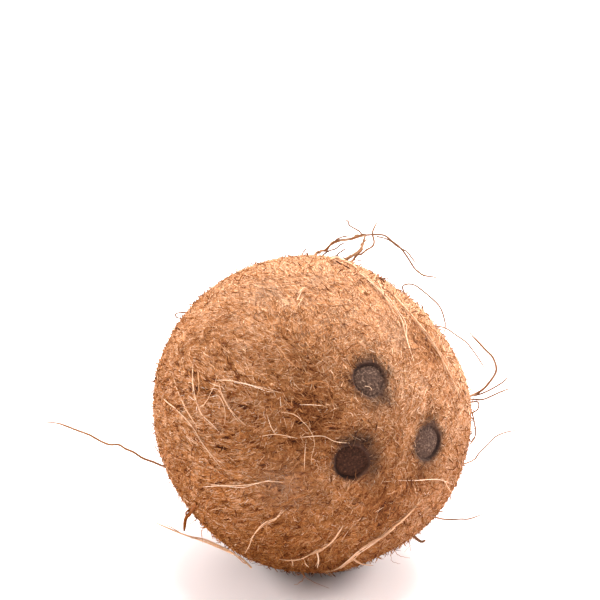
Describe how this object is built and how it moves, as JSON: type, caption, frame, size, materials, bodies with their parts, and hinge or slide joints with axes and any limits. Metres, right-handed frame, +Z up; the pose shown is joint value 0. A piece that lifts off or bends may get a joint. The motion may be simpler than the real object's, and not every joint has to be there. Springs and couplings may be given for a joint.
{
  "type": "coconut",
  "caption": "Husked coconut with a matted coat of brown fibre, dark round eyes at one end, low seams and loose fibres standing off all round, resting on a small flat spot.",
  "frame": {"origin": "middle of the small flat spot underneath, which it rests on", "axes": "+Z up; the eye end looks towards -Y, turned 29.5 degrees to +X and 12 degrees up; +X is the viewer's right"},
  "size_m": [0.163, 0.1243, 0.1214],
  "materials": {
    "coir": "matted dry brown fibre, pale straw on top and dark between, matte"
  },
  "bodies": {
    "root": {"coconut": "coir"}
  },
  "joints": []
}
